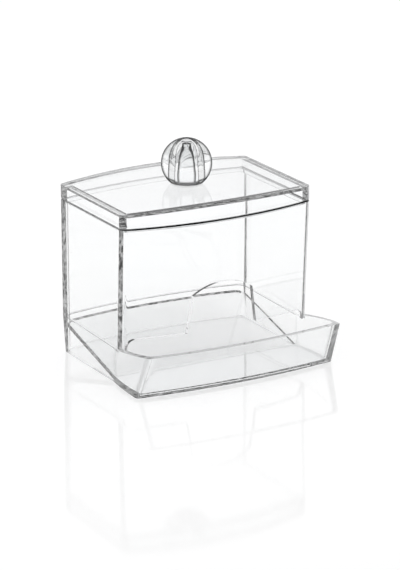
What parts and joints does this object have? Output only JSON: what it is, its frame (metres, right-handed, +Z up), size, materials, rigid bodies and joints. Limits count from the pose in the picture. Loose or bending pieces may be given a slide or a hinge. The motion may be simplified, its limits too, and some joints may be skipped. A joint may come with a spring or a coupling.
{
  "type": "cotton swab holder",
  "caption": "Clear box with an arched lift-off lid and a ball knob; a ramp inside feeds cotton swabs through a slot under its front wall into an open tray.",
  "frame": {"origin": "on the table under the middle of the footprint, which runs from the crown of the tray's rim to the crown of the rear wall", "axes": "+Z up, X along the width of the box, -Y towards the front, where the tray is"},
  "size_m": [0.1012, 0.093, 0.101],
  "materials": {
    "base_plastic": "clear polished moulding",
    "bin_plastic": "clear polished moulding",
    "lid_plastic": "clear polished moulding",
    "ball_plastic": "clear polished moulding",
    "peg_plastic": "clear polished moulding"
  },
  "bodies": {
    "holder": {"base_tray": "base_plastic", "bin_sleeve": "bin_plastic"},
    "lid": {"lid": "lid_plastic", "knob_ball": "ball_plastic", "knob_peg": "peg_plastic"}
  },
  "joints": [
    {"name": "lid_lift", "type": "slide", "parent": "holder", "child": "lid", "axis": [0, 0, 1], "range_m": [0, 0.08]}
  ]
}
